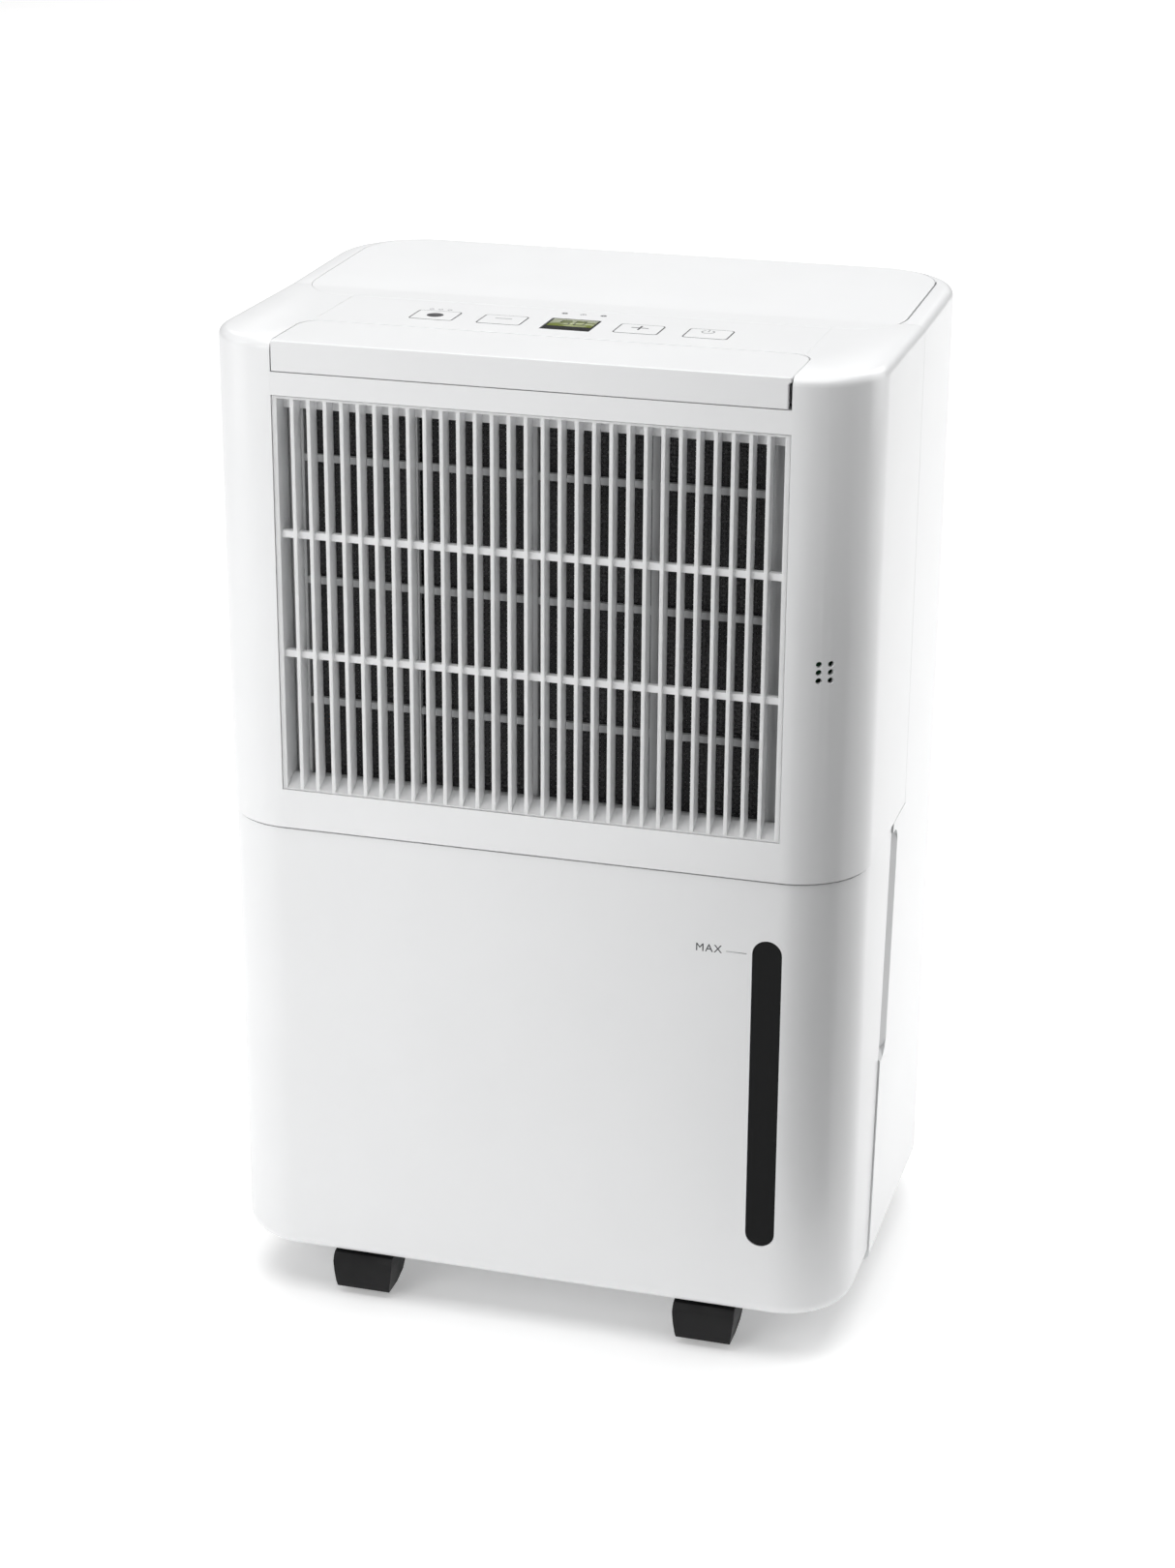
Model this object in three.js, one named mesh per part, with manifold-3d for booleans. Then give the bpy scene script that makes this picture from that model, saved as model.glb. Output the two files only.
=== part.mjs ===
// Free-standing compressor dehumidifier with a slide-out water bucket, a lift-out air filter
// and four twin-wheel castors. Millimetres, +Z up, front face towards -Y, origin on the floor
// under the middle of the bounding box.
//
// Everything is drawn in body coordinates: x across, y behind the front face, z above the
// underside of the body. The group at the end moves the body onto its castors.
import * as THREE from 'three';
import { mergeVertices } from 'three/addons/utils/BufferGeometryUtils.js';
import Module from 'manifold-3d';

const wasm = await Module();
wasm.setup();

// ---- driving dimensions ------------------------------------------------------------------
const WIDTH = 350;
const DEPTH = 258;
const CLEARANCE = 28; // underside of the body above the floor
const FRONT_TOP = 516.5; // top of the front housing
const RIM_TOP = 519.5; // top of the rear rim
const SEAM = 253.4; // split between the bucket and the upper housing
const SPLIT = 131; // split between the front and rear housings
const FRONT_RADIUS = 40;
const REAR_RADIUS = 48;
const TOP_EDGE = 5; // rounding of the top edges
const WALL = 2.8;
const GAP = 0.3;
const FAR = 700; // reach of cutting tools that pass right through

const OPENING = { x: 134.5, z0: 275.2, z1: 488.3 }; // air intake in the front face
const FIN = { count: 29, first: -123.5, thickness: 1.9, depth: 11 };
const CROSS_BARS = [350.4, 415];
const FILTER = { x: 131, border: 8, bar: 3.8, y0: 15, y1: 18.4, z0: 273.5, top: 511.8 };
const FILTER_BARS = [321.5, 387.5, 453];
const FILTER_POSTS = [-63.5, 0, 63.5];
const CAP = { x0: -134.1, x1: 134.1, lipEnd: 132.7, y: 50.4, lip: 500.6, radius: 12 };
const PANEL = { x: 129.7, y0: 51.1, y1: 111.7 };
const COVER = { x: 163, nose: 136, y0: 112.1, flare: 143, y1: 253.8, radius: 34, gap: 1.1 };
const WIDE_GAP_END = 228; // the gap right of the inset lid narrows behind this
const BUTTON = { x: [-73, -36.5, 36.5, 73], y: 79, width: 22.5, depth: 19 };
const BOARD_TOP = 503.1; // upper face of the control board
const LENS = { x: 13, y0: 66.5, y1: 92.3 };
const WINDOW = { x0: 121.6, x1: 137.3, z0: 42.9, z1: 220.2 };
const BUCKET = { inset: 1, top: 252.6, rear: 72, tubX: 151, tubRear: 113.5, rim: 243, floor: 9.5 };
const EDGE = { bottom: 76.8, slope: 0.089 }; // rear edge of the bucket sides leans back
const RECESS = { x: 164, y0: 50, y1: 113, z0: 118, z1: 248, radius: 10, ramp: 13 }; // finger grip
const OUTLET = { x: 100, z0: 330, z1: 470 };
const FAN = { z: 385, ring: 84, tip: 80, hub: 22, y0: 98, y1: 118, blades: 7 };
const DRAIN = { x: 60, z: 235, radius: 8 };
const CORD = { x: -110, z: 35, radius: 7 };
const SCREWS = [[-112, 60], [112, 60], [-112, 490], [112, 490]];
const COMPRESSOR = { x: -60, y: 187, radius: 52, z0: 22, z1: 205, feet: 58 };
const FLOAT = { x: -95, y: 102, z: 228, lug: 13 };
const CASTOR = { x: 98, y: [26.5, 225], trail: 6, wheel: 12.5, inner: 6.5, outer: 13.5 };

// ---- finishes ----------------------------------------------------------------------------
const finish = (color, roughness, metalness = 0) =>
  new THREE.MeshStandardMaterial({ color, roughness, metalness });
const WHITE = finish(0xf1f2f2, 0.32);
const WARM_WHITE = finish(0xeef0f0, 0.38);
const FRAME_GREY = finish(0xb9bbbc, 0.5);
const MESH_BLACK = finish(0x1c1d1f, 0.7);
const SMOKE = finish(0x16181a, 0.12);
const GLASS = finish(0x5d6440, 0.15);
const CASTOR_BLACK = finish(0x141416, 0.45);
const RUBBER = finish(0x202022, 0.8);
const ALUMINIUM = finish(0xc9cccf, 0.35, 1);
const COPPER = finish(0xb87445, 0.3, 1);
const STEEL = finish(0xb4b7ba, 0.35, 1);
const BLACK_PAINT = finish(0x18191b, 0.4);
const BOARD_GREEN = finish(0x1f5a3a, 0.5);
const INNER_GREY = finish(0x8d9093, 0.6);
const FOAM = finish(0xe9e4d4, 0.8);

// ---- solid helpers -----------------------------------------------------------------------
function solid(geometry) {
  geometry.deleteAttribute('normal');
  geometry.deleteAttribute('uv');
  const welded = mergeVertices(geometry, 1e-3);
  return new wasm.Manifold(new wasm.Mesh({
    numProp: 3,
    vertProperties: new Float32Array(welded.attributes.position.array),
    triVerts: new Uint32Array(welded.index.array),
  }));
}

const union = (first, ...rest) => rest.reduce((sum, item) => sum.add(item), first);

function box(x0, x1, y0, y1, z0, z1) {
  const shape = new THREE.BoxGeometry(x1 - x0, y1 - y0, z1 - z0);
  return solid(shape.translate((x0 + x1) / 2, (y0 + y1) / 2, (z0 + z1) / 2));
}

// The same box on both sides of the middle plane, as two separate tools.
const boxPair = (x0, x1, ...rest) => [box(x0, x1, ...rest), box(-x1, -x0, ...rest)];

function extruded(shape, depth, curveSegments) {
  return new THREE.ExtrudeGeometry(shape, { depth, bevelEnabled: false, curveSegments });
}

// Shape drawn in x, y and raised from z0 to z1.
function prismZ(shape, z0, z1, segments = 4) {
  return solid(extruded(shape, z1 - z0, segments).translate(0, 0, z0));
}

// Shape drawn in x, z and pushed back from y0 to y1.
function prismY(shape, y0, y1, segments = 4) {
  return solid(extruded(shape, y1 - y0, segments).rotateX(Math.PI / 2).translate(0, y1, 0));
}

// Shape drawn in y, z and pushed across from x0 to x1.
function prismX(shape, x0, x1, segments = 4) {
  const turn = new THREE.Matrix4().makeBasis(
    new THREE.Vector3(0, 1, 0), new THREE.Vector3(0, 0, 1), new THREE.Vector3(1, 0, 0));
  return solid(extruded(shape, x1 - x0, segments).applyMatrix4(turn).translate(x0, 0, 0));
}

function polygon(points) {
  return new THREE.Shape(points.map(([u, v]) => new THREE.Vector2(u, v)));
}

// Rectangle with its low-v corners rounded by r0 and its high-v corners by r1.
function roundRect(u0, v0, u1, v1, r0, r1 = r0) {
  const s = new THREE.Shape();
  const quarter = Math.PI / 2;
  if (r0 > 0) {
    s.absarc(u0 + r0, v0 + r0, r0, 2 * quarter, 3 * quarter);
    s.absarc(u1 - r0, v0 + r0, r0, 3 * quarter, 4 * quarter);
  } else {
    s.moveTo(u0, v0);
    s.lineTo(u1, v0);
  }
  s.absarc(u1 - r1, v1 - r1, r1, 0, quarter);
  s.absarc(u0 + r1, v1 - r1, r1, quarter, 2 * quarter);
  return s;
}

function disc(u, v, radius) {
  const s = new THREE.Shape();
  s.absarc(u, v, radius, 0, 2 * Math.PI);
  return s;
}

const cylinderZ = (x, y, r, z0, z1, n = 6) => prismZ(disc(x, y, r), z0, z1, n);
const cylinderY = (x, z, r, y0, y1, n = 6) => prismY(disc(x, z, r), y0, y1, n);
const cylinderX = (y, z, r, x0, x1, n = 6) => prismX(disc(y, z, r), x0, x1, n);

// Profile of [radius, height] pairs turned about the vertical, listed from the bottom up.
function turned(profile, segments = 20) {
  const points = profile.map(([r, h]) => new THREE.Vector2(r, h));
  return solid(new THREE.LatheGeometry(points, segments).rotateX(Math.PI / 2));
}

function pipe(points, radius, steps) {
  const path = new THREE.CatmullRomCurve3(
    points.map((p) => new THREE.Vector3(...p)), false, 'centripetal');
  return solid(new THREE.ExtrudeGeometry(disc(0, 0, radius),
    { steps, extrudePath: path, curveSegments: 3, bevelEnabled: false }));
}

// ---- body outline ------------------------------------------------------------------------
function outline(inset) {
  const x = WIDTH / 2 - inset;
  const rf = FRONT_RADIUS - inset;
  const rr = REAR_RADIUS - inset;
  return roundRect(-x, inset, x, DEPTH - inset, rf, rr);
}

const plain = (inset, z0, z1) => prismZ(outline(inset), z0, z1, 5);

// Body block with its top and bottom edges rounded.
function rounded(inset, z0, z1, radius) {
  return solid(new THREE.ExtrudeGeometry(outline(inset), {
    depth: z1 - z0 - 2 * radius,
    bevelThickness: radius,
    bevelSize: radius,
    bevelOffset: -radius,
    bevelSegments: 2,
    curveSegments: 5,
  }).translate(0, 0, z0 + radius));
}

// Everything in front of the leaning rear edge of the bucket, up to a height.
function aheadOfEdge(offset, top) {
  const at = (z) => EDGE.bottom + EDGE.slope * z + offset;
  return prismX(polygon([[-1, -1], [at(-1), -1], [at(top), top], [-1, top]]), -FAR, FAR);
}

// Inset lid at the back of the top; a negative inset gives the hole it drops into.
function coverOutline(inset) {
  const x = COVER.x - inset;
  const y0 = COVER.y0 + inset;
  const y1 = COVER.y1 - inset;
  const r = COVER.radius - inset;
  const s = new THREE.Shape();
  s.moveTo(-COVER.nose, y0);
  s.lineTo(COVER.nose, y0);
  s.bezierCurveTo(COVER.nose + 15, y0, x, COVER.flare - 16, x, COVER.flare);
  s.absarc(x - r, y1 - r, r, 0, Math.PI / 2);
  s.absarc(-x + r, y1 - r, r, Math.PI / 2, Math.PI);
  s.lineTo(-x, COVER.flare);
  s.bezierCurveTo(-x, COVER.flare - 16, -COVER.nose - 15, y0, -COVER.nose, y0);
  return s;
}

// ---- housings ----------------------------------------------------------------------------
function frontHousing() {
  const capHole = (z0) => prismZ(
    roundRect(CAP.x0 - 0.4, -5, OPENING.x, CAP.y + 0.4, 0, CAP.radius), z0, FAR);
  const skin = rounded(0, 150, FRONT_TOP, TOP_EDGE)
    .intersect(box(-FAR, FAR, -1, SPLIT, SEAM + GAP, FAR))
    .subtract(plain(WALL, 0, FRONT_TOP - 3));
  const tray = box(-137.5, 137.5, 2, 53.4, 496.6, FRONT_TOP - 2);
  let body = skin.add(tray)
    .subtract(capHole(499.4).intersect(box(-FAR, FAR, WALL, FAR, 0, FAR)))
    .subtract(capHole(CAP.lip - GAP))
    .subtract(box(-132.3, 132.3, 13.8, 21, 490, 500))
    .subtract(box(-PANEL.x - GAP, PANEL.x + GAP, CAP.y, PANEL.y1 + 2, FRONT_TOP - 3.5, FAR))
    .subtract(prismZ(coverOutline(-GAP), FRONT_TOP - 5, FAR, 6))
    .subtract(box(-OPENING.x, OPENING.x, -1, 5, OPENING.z0, OPENING.z1));
  for (const degrees of [24, 33]) {
    for (const z of [363, 367.3, 371.6]) {
      body = body.subtract(ventHole(degrees, z));
    }
  }
  return body;
}

// Radial hole through the right front corner.
function ventHole(degrees, z) {
  const drill = new THREE.CylinderGeometry(1.35, 1.35, 12, 8);
  drill.translate(0, -FRONT_RADIUS, 0).rotateZ(THREE.MathUtils.degToRad(degrees));
  return solid(drill.translate(WIDTH / 2 - FRONT_RADIUS, FRONT_RADIUS, z));
}

function rearHousing() {
  const zone = box(-FAR, FAR, SPLIT + GAP, FAR, -1, FAR).add(
    box(-FAR, FAR, 0, SPLIT + 1, -1, SEAM - GAP).subtract(aheadOfEdge(0.4, SEAM)));
  let body = rounded(0, 0, FRONT_TOP, TOP_EDGE)
    .warp((v) => {
      if (v[2] > SEAM) v[2] += topRise(v[1]);
    })
    .intersect(zone)
    .subtract(plain(WALL, 5, 510))
    .subtract(plain(12, -1, 6))
    .subtract(prismZ(coverOutline(-GAP), 513, FAR, 6))
    .subtract(prismZ(coverOutline(-COVER.gap), 513, FAR, 6)
      .intersect(box(0, FAR, 0, WIDE_GAP_END, 0, FAR)))
    .subtract(prismZ(coverOutline(5), 505, FAR, 6));
  for (const side of [-1, 1]) {
    body = fingerGrip(body, side, zone);
  }
  const opening = roundRect(-OUTLET.x, OUTLET.z0, OUTLET.x, OUTLET.z1, 6);
  body = body.subtract(prismY(opening, DEPTH - 8, FAR));
  for (const [x, z] of SCREWS) {
    body = body.add(cylinderY(x, z, 7, DEPTH - 12, DEPTH - 1, 3))
      .subtract(cylinderY(x, z, 4.5, DEPTH - 6, FAR, 5))
      .subtract(cylinderY(x, z, 2.4, DEPTH - 13, FAR, 3));
  }
  for (const port of [DRAIN, CORD]) {
    body = body.add(cylinderY(port.x, port.z, port.radius + 3, DEPTH - 14, DEPTH - 1, 4))
      .subtract(cylinderY(port.x, port.z, port.radius, DEPTH - 15, FAR))
      .subtract(cylinderY(port.x, port.z, port.radius + 2.5, DEPTH - 1.9, FAR));
  }
  return body;
}

// Upright hollow behind the bucket's edge that fingers reach into to pull it out.
function fingerGrip(body, side, zone) {
  const { x, y0, y1, z0, z1, radius, ramp } = RECESS;
  const wall = 2.4;
  const lean = (solid3) => solid3.warp((v) => {
    v[1] += EDGE.slope * (v[2] - z1);
  });
  const range = (from) => (side > 0 ? [from, FAR] : [-FAR, -from]);
  const hollow = lean(prismX(roundRect(y0, z0, y1, z1, radius), ...range(x)))
    .intersect(prismY(polygon([[side * x, z0 + ramp], [side * WIDTH / 2, z0],
      [side * FAR, z0], [side * FAR, z1], [side * x, z1]]), 0, FAR));
  const cup = lean(prismX(roundRect(y0 - wall, z0 - wall, y1 + wall, z1 + wall,
    radius + wall), ...range(x - wall)));
  return body.add(cup.intersect(plain(1, 10, 300)).intersect(zone)).subtract(hollow);
}

// Height of the rear top, which climbs gently from the split to the back.
const topRise = (y) => (RIM_TOP - FRONT_TOP) * (y - SPLIT) / (DEPTH - TOP_EDGE - SPLIT);

function topCover() {
  const above = prismX(polygon([[0, FRONT_TOP], [SPLIT, FRONT_TOP], [DEPTH - TOP_EDGE, RIM_TOP],
    [DEPTH, RIM_TOP], [DEPTH, FAR], [0, FAR]]), -FAR, FAR);
  return prismZ(coverOutline(0), 513.3, FAR, 6).subtract(above);
}

// ---- air intake and filter ---------------------------------------------------------------
function intakeGrille() {
  const x = OPENING.x - GAP;
  const z0 = OPENING.z0 + GAP;
  const z1 = OPENING.z1 - GAP;
  const front = 0.4;
  const inner = x - 2.5;
  const sill = polygon([[front, z0], [13.6, z0], [13.6, 281.2], [FIN.depth, 281.2],
    [front, z0 + 0.8]]);
  let body = union(
    prismX(sill, -x, x),
    box(-x, x, front, FIN.depth, z1 - 1.2, z1),
    box(-x, x, FIN.depth - 0.2, 13.6, 480, z1),
    ...boxPair(inner, x, front, 22.4, z0, z1),
    ...boxPair(126, x, 20.4, 22.4, z0, z1),
    box(-x - 4, x + 4, 3.1, 5.4, z0 - 4, z1 + 4)
      .subtract(box(-inner, inner, 0, 9, z0 + 0.3, z1 - 0.6)));
  const pitch = -2 * FIN.first / (FIN.count - 1);
  for (let i = 0; i < FIN.count; i++) {
    const at = FIN.first + i * pitch;
    const half = FIN.thickness / 2;
    body = body.add(box(at - half, at + half, front, FIN.depth, z0 + 0.4, z1 - 0.5));
  }
  for (const z of CROSS_BARS) {
    body = body.add(box(-inner - 1, inner + 1, 3, 7, z - 1.8, z + 1.8));
  }
  return body;
}

function filterFrame() {
  const { x, border, bar, y0, y1, z0, top } = FILTER;
  let body = box(-x, x, y0, y1, z0, top)
    .subtract(box(-x + border, x - border, 0, 30, z0 + 6.5, 480.5))
    .subtract(union(...boxPair(122, 140, 0, 30, 499, 520)));
  for (const z of FILTER_BARS) {
    body = body.add(box(-x + 1, x - 1, y0 + 0.4, y1 - 0.4, z - bar / 2, z + bar / 2));
  }
  for (const post of FILTER_POSTS) {
    body = body.add(box(post - bar / 2, post + bar / 2, y0, y1, z0 + 1, 490));
  }
  return body;
}

const filterMesh = () => box(-126, 126, FILTER.y1 + 0.2, FILTER.y1 + 1, 277, 484);

function filterGrip() {
  const plate = prismZ(
    roundRect(CAP.x0, 0, CAP.x1, CAP.y, 0, CAP.radius), FRONT_TOP - 2.9, FRONT_TOP);
  const lip = box(CAP.x0, CAP.lipEnd, 0, 3, CAP.lip, FRONT_TOP - 1);
  const foot = box(-110, 110, FILTER.y0 - 1, FILTER.y1 + 1, FILTER.top + GAP, FRONT_TOP - 2);
  return union(plate, lip, foot);
}

// ---- controls ----------------------------------------------------------------------------
function controlPanel() {
  const { x, y0, y1 } = PANEL;
  let body = box(-x, x, y0, y1, FRONT_TOP - 3.2, FRONT_TOP)
    .add(box(-x - 3, x + 3, 55, y1 - 1, FRONT_TOP - 5.4, FRONT_TOP - 3.9))
    .add(box(-x + 2, x - 2, 55, y1 - 1, FRONT_TOP - 5, FRONT_TOP - 2));
  for (const at of BUTTON.x) {
    body = body.subtract(prismZ(buttonShape(at, 0.4), 500, FAR, 2));
  }
  for (const y of [61, 101]) {
    body = body.add(union(...boxPair(86, 90, y, y + 4, BOARD_TOP + GAP, FRONT_TOP - 5)));
  }
  const seat = box(-LENS.x - GAP, LENS.x + GAP, LENS.y0 - GAP, LENS.y1 + GAP,
    FRONT_TOP - 2.5, FAR);
  return body.subtract(seat)
    .subtract(box(-LENS.x + 1.5, LENS.x - 1.5, LENS.y0 + 1.5, LENS.y1 - 1.5, 500, FAR));
}

function buttonShape(at, grow) {
  const u = BUTTON.width / 2 + grow;
  const v = BUTTON.depth / 2 + grow;
  return roundRect(at - u, BUTTON.y - v, at + u, BUTTON.y + v, 1.5 + grow);
}

function button(at) {
  return prismZ(buttonShape(at, 0), FRONT_TOP - 3.4, FRONT_TOP + 0.2, 2)
    .add(box(at - 3, at + 3, BUTTON.y - 3, BUTTON.y + 3, 508, FRONT_TOP - 3));
}

const displayLens = () => box(
  -LENS.x, LENS.x, LENS.y0, LENS.y1, FRONT_TOP - 2.2, FRONT_TOP - 0.2);

function controlBoard() {
  const switches = BUTTON.x.map((at) =>
    box(at - 3.5, at + 3.5, BUTTON.y - 3.5, BUTTON.y + 3.5, BOARD_TOP - 0.1, 506.6));
  const display = box(-10, 10, LENS.y0 + 3, LENS.y1 - 3, BOARD_TOP - 0.1, 510);
  return union(box(-95, 95, 58, 106, BOARD_TOP - 1.6, BOARD_TOP), display, ...switches);
}

// ---- bucket ------------------------------------------------------------------------------
function bucket() {
  const { inset, top, rear, tubX, tubRear, rim, floor } = BUCKET;
  const skin = rounded(inset, 0, 300, 9).intersect(aheadOfEdge(0, top));
  const tub = prismZ(roundRect(-tubX, 20, tubX, tubRear, 0, 10), floor - 3, rim);
  let body = skin.add(tub)
    .subtract(plain(inset + WALL, floor, FAR).intersect(box(-FAR, FAR, 0, rear, 0, FAR)))
    .subtract(prismZ(
      roundRect(-tubX + WALL, 20, tubX - WALL, tubRear - WALL, 0, 7.2), floor, FAR))
    .subtract(plain(11, -1, floor - 3))
    .subtract(union(...boxPair(tubX, 171.2, rear + 3, FAR, floor, FAR)))
    .subtract(box(-171.2, 171.2, rear - 1, FAR, rim, FAR));
  for (const x of [-FLOAT.lug, FLOAT.lug]) {
    body = body.add(box(FLOAT.x + x - 2, FLOAT.x + x + 2, FLOAT.y - 6, tubRear - 2,
      FLOAT.z - 6, FLOAT.z + 6));
  }
  return body.subtract(cylinderX(FLOAT.y, FLOAT.z, 2.4, FLOAT.x - 20, FLOAT.x + 20, 5))
    .subtract(prismY(windowShape(0), -1, 8));
}

function windowShape(inset) {
  const r = (WINDOW.x1 - WINDOW.x0) / 2 - inset;
  return roundRect(WINDOW.x0 + inset, WINDOW.z0 + inset, WINDOW.x1 - inset,
    WINDOW.z1 - inset, r - 0.01);
}

const bucketWindow = () => prismY(windowShape(GAP), 1.5, 3.7, 5);

function bucketLid() {
  const { inset, rear, tubX, tubRear, rim } = BUCKET;
  const front = plain(inset + WALL + 0.4, rim + GAP, rim + 3)
    .intersect(box(-FAR, FAR, 0, rear + 2, 0, FAR));
  const back = box(-tubX, tubX, rear, tubRear, rim + GAP, rim + 3);
  const drip = prismZ(roundRect(-30, 48, 30, 76, 8), 200, FAR);
  const pour = prismZ(roundRect(-158, 12, -122, 40, 10), 200, FAR);
  return front.add(back).subtract(drip).subtract(pour);
}

// Foam block on an arm that pivots at the back of the bucket.
function bucketFloat() {
  const { x, y, z } = FLOAT;
  return union(
    cylinderX(y, z, 2, x - 14.8, x + 14.8, 5),
    box(x - 9, x + 9, y - 30, y + 2, z - 2.5, z + 2.5),
    prismX(roundRect(y - 62, z - 26, y - 27, z + 3, 5), x - 18, x + 18, 3));
}

const bucketSensor = () => box(-107, -83, 52, 70, 248, SEAM + 0.3);

// ---- chassis -----------------------------------------------------------------------------
function basePan() {
  let body = union(
    plain(11.5, 1.5, 5.8).intersect(box(-160, 160, 12, 122, 0, 10)),
    plain(WALL + 0.6, 5.3, 8.5).intersect(box(-FAR, FAR, 122.4, FAR, 0, FAR)),
    box(-156, 156, 115, 125, 5, 8.5));
  for (const x of [-CASTOR.x, CASTOR.x]) {
    for (const y of CASTOR.y) {
      const top = y > SPLIT ? 8 : 5.5;
      body = body.add(cylinderZ(x, y, 9, -1, top)).subtract(cylinderZ(x, y, 4.3, -2, 4.6));
    }
  }
  return body;
}

function bulkhead() {
  const wall = box(-154, 154, 116, 118.6, 8.8, 255);
  const deck = plain(WALL + 0.6, SEAM + 0.6, SEAM + 3.6);
  return wall.add(deck)
    .subtract(box(118, 154, 121, 152, 200, 300))
    .subtract(cylinderZ(0, 62, 7, 200, 300));
}

function drainPan() {
  const trough = box(-152, 152, 25, 90, 257.3, 268).subtract(box(-150, 150, 27, 88, 259.3, 300));
  return trough.add(cylinderZ(0, 62, 6, 248.5, 258)).subtract(cylinderZ(0, 62, 4, 200, 300));
}

// ---- cooling circuit ---------------------------------------------------------------------
// Fin pack with return bends on both ends, standing on two feet in the drain pan.
function coil(y0, y1, inlet) {
  const half = 112;
  const count = 14;
  const pitch = 2 * half / count;
  const front = [];
  const back = [];
  for (let i = 0; i < count; i++) {
    const u = -half + i * pitch;
    front.push([u, y0], [u + 5, y0], [u + 5, y0 + 7], [u + pitch, y0 + 7]);
    back.push([u, y1], [u + 5, y1], [u + 5, y1 - 7], [u + pitch, y1 - 7]);
  }
  front.push([half, y0], [half + 5, y0]);
  back.push([half, y1], [half + 5, y1]);
  let body = prismZ(polygon([...front, ...back.reverse()]), 274, 478);
  const y = (y0 + y1) / 2;
  for (const [side, heights] of [[-1, [320, 400]], [1, [360, 440]]]) {
    for (const z of heights) {
      body = body.add(pipe([[side * 108, y, z], [side * 120, y, z], [side * 124, y, z + 12],
        [side * 120, y, z + 25], [side * 108, y, z + 25]], 3.5, 5));
    }
  }
  const stubs = [cylinderX(y, 288, 3.5, -124, -110, 3), cylinderX(y, inlet, 3.5, 110, 124, 3)];
  const feet = boxPair(92, 104, y0 + 3, y1 - 3, 259.6, 275);
  return union(body, ...stubs, ...feet);
}

function compressor() {
  const { x, y, radius, z0, z1, feet } = COMPRESSOR;
  const can = turned([[0, z0], [radius - 14, z0 + 1], [radius - 4, z0 + 8], [radius, z0 + 20],
    [radius, z1 - 45], [radius - 2, z1 - 40], [radius - 2, z1 - 26], [radius - 10, z1 - 9],
    [radius - 30, z1 - 1], [0, z1]], 22).translate([x, y, 0]);
  const stub = cylinderZ(x + 20, y, 4, z1 - 15, z1 + 8, 5);
  let body = can.add(stub);
  for (const [dx, dy] of footOffsets(feet)) {
    body = body.add(box(x - 11, x + 11, y - 11, y + 11, 18, z0 + 4))
      .add(footArm(x, y, dx, dy))
      .add(cylinderZ(x + dx, y + dy, 7, 18, 21, 5));
  }
  return body;
}

const footOffsets = (reach) => [90, 210, 330].map((degrees) => {
  const angle = THREE.MathUtils.degToRad(degrees);
  return [reach * Math.cos(angle), reach * Math.sin(angle)];
});

function footArm(x, y, dx, dy) {
  const arm = new THREE.BoxGeometry(Math.hypot(dx, dy), 12, 3);
  arm.translate(Math.hypot(dx, dy) / 2, 0, 19.5).rotateZ(Math.atan2(dy, dx));
  return solid(arm.translate(x, y, 0));
}

function compressorFoot(dx, dy) {
  const profile = [[0, 8.8], [7.5, 8.8], [7.5, 11], [5.5, 12.5], [5.5, 14.5], [7, 16], [7, 17.7],
    [0, 17.7]];
  return turned(profile, 10).translate([COMPRESSOR.x + dx, COMPRESSOR.y + dy, 0]);
}

function accumulator() {
  const body = turned([[0, 62], [10, 63], [15, 70], [15, 140], [10, 147], [0, 148]], 12)
    .translate([16, 187, 0]);
  const link = pipe([[16, 187, 64], [16, 187, 50], [8, 187, 44], [-4, 187, 44],
    [COMPRESSOR.x + COMPRESSOR.radius + 0.4, 187, 44]], 4, 9);
  return body.add(link);
}

const suctionPipe = () => pipe([[16, 187, 148.4], [16, 187, 210], [24, 187, 236],
  [60, 182, 240], [112, 158, 240], [130, 136, 244], [133, 130, 262], [133, 118, 286],
  [134, 90, 297], [135, 58, 300], [133, 46, 300], [128, 43, 300], [124.6, 43, 300]], 4, 22);

const dischargePipe = () => pipe([[-40, 187, 213.4], [-40, 187, 222], [-30, 183, 232],
  [0, 168, 234], [70, 150, 234], [125, 128, 240], [147, 128, 246], [147, 127, 270],
  [149, 108, 300], [149, 86, 316], [140, 76, 320], [130, 73, 320], [124.6, 73, 320]], 3, 22);

function capillaryTube() {
  const drier = turned([[0, 330], [3, 331], [7, 338], [7, 372], [3, 379], [0, 380]], 10)
    .translate([-145, 73, 0]);
  return union(
    drier,
    pipe([[-124.6, 73, 288], [-130, 73, 288], [-141, 73, 294], [-145, 73, 308],
      [-145, 73, 333]], 2.4, 8),
    pipe([[-145, 73, 377], [-145, 70, 392], [-152, 58, 396], [-152, 48, 380],
      [-148, 43, 330], [-140, 43, 294], [-130, 43, 288], [-124.6, 43, 288]], 1.8, 16));
}

// ---- fan ---------------------------------------------------------------------------------
function fanShroud() {
  const { z, ring } = FAN;
  const plate = box(-168, 168, 92, 95, 257.4, 499).subtract(box(122, 170, 80, 120, 200, 325));
  const wallRing = cylinderY(0, z, ring + 3, 92, 126, 12);
  let body = plate.add(wallRing).subtract(cylinderY(0, z, ring, 80, 140, 12));
  body = body.add(cylinderY(0, z, 36, 122, 126, 8));
  for (const degrees of [90, 210, 330]) {
    const arm = new THREE.BoxGeometry(ring - 20, 4, 10).translate(20 + (ring - 20) / 2, 0, 0);
    arm.rotateY(-THREE.MathUtils.degToRad(degrees));
    body = body.add(solid(arm.translate(0, 124, z)));
  }
  return body.subtract(cylinderY(0, z, 7, 110, 140, 6));
}

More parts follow.
